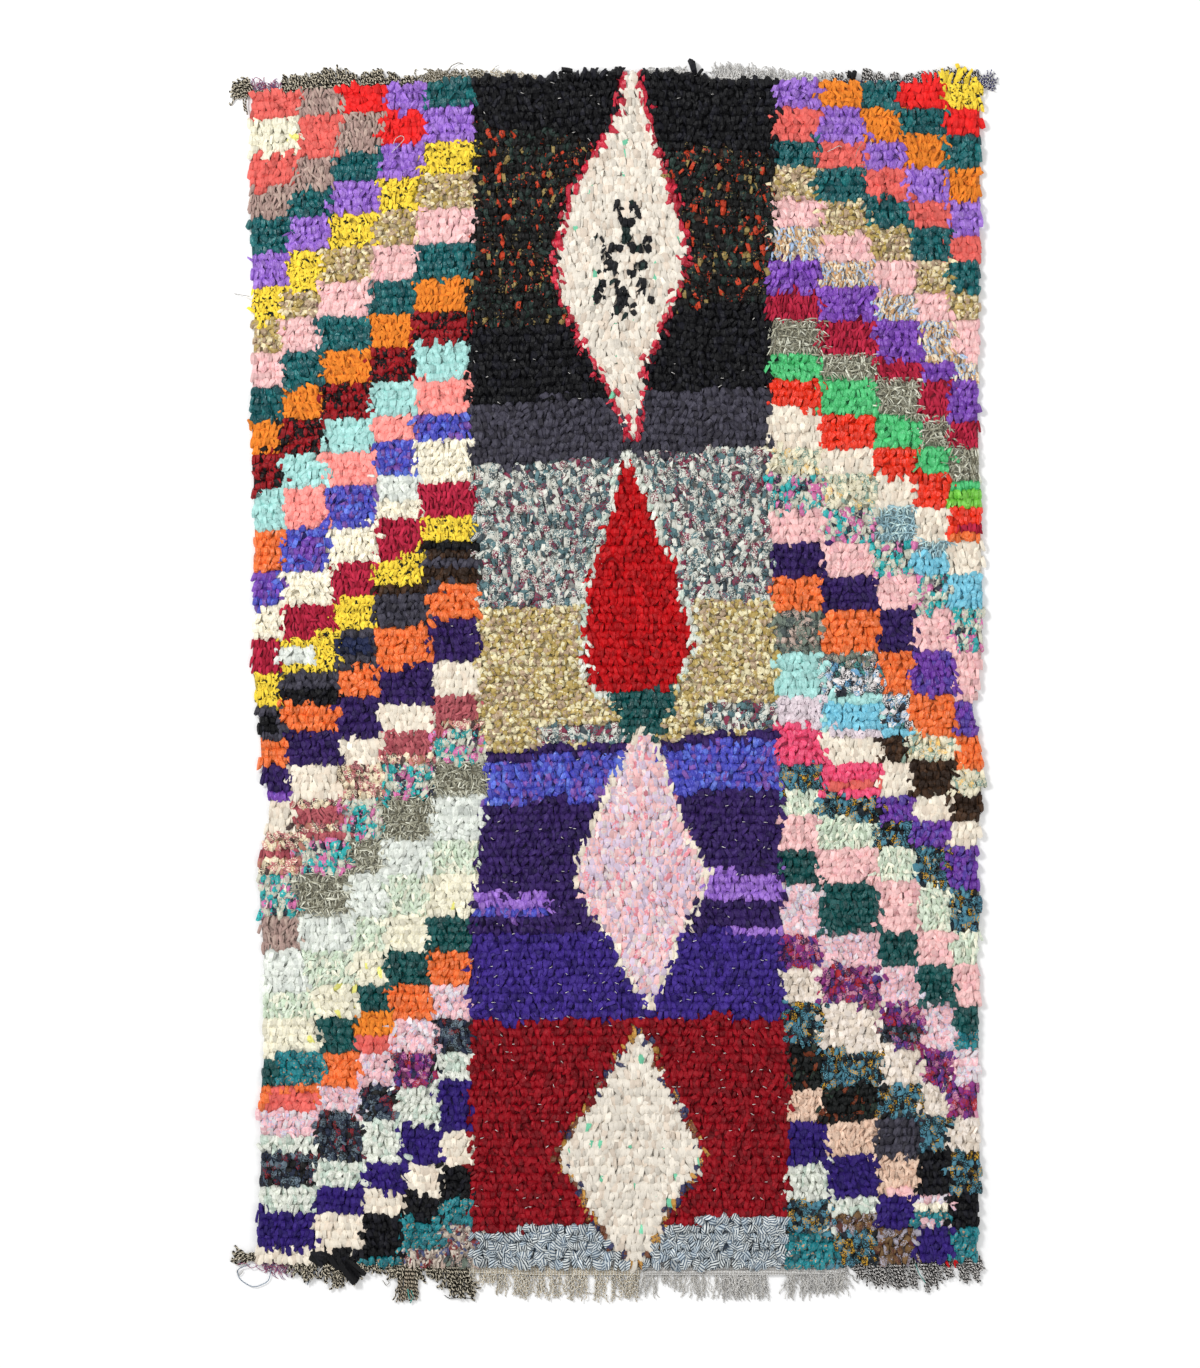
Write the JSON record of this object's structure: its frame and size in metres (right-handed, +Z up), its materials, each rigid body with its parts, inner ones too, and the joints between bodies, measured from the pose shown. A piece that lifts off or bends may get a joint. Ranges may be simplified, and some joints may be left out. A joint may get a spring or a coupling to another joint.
{
  "type": "shag rug",
  "caption": "Rag-pile boucherouite rug with stepped patchwork panels, a banded middle with lozenges, and loose yarn fringes at both ends",
  "frame": {"origin": "on the floor plane under the middle of the whole outline, fringes included", "axes": "+Y along the rug towards the end with the short fringe, +X across the rug, +Z up out of the pile"},
  "size_m": [1.3434, 2.1684, 0.0218],
  "materials": {
    "rag_pile": "matt shag of cut cotton and jersey rag strips in many colours",
    "brown_marl_yarn": "matt twisted yarn, dark brown and cream plies",
    "beige_yarn": "matt twisted yarn, beige",
    "light_grey_yarn": "matt twisted yarn, light grey",
    "black_marl_yarn": "matt twisted yarn, black and white plies"
  },
  "bodies": {
    "root": {"rag_pile": "rag_pile", "fringe_top_brown_marl": "brown_marl_yarn", "fringe_top_beige": "beige_yarn", "fringe_top_light_grey": "light_grey_yarn", "fringe_top_black_marl": "black_marl_yarn", "fringe_bottom_brown_marl": "brown_marl_yarn", "fringe_bottom_beige": "beige_yarn", "fringe_bottom_light_grey": "light_grey_yarn", "fringe_bottom_black_marl": "black_marl_yarn"}
  },
  "joints": []
}
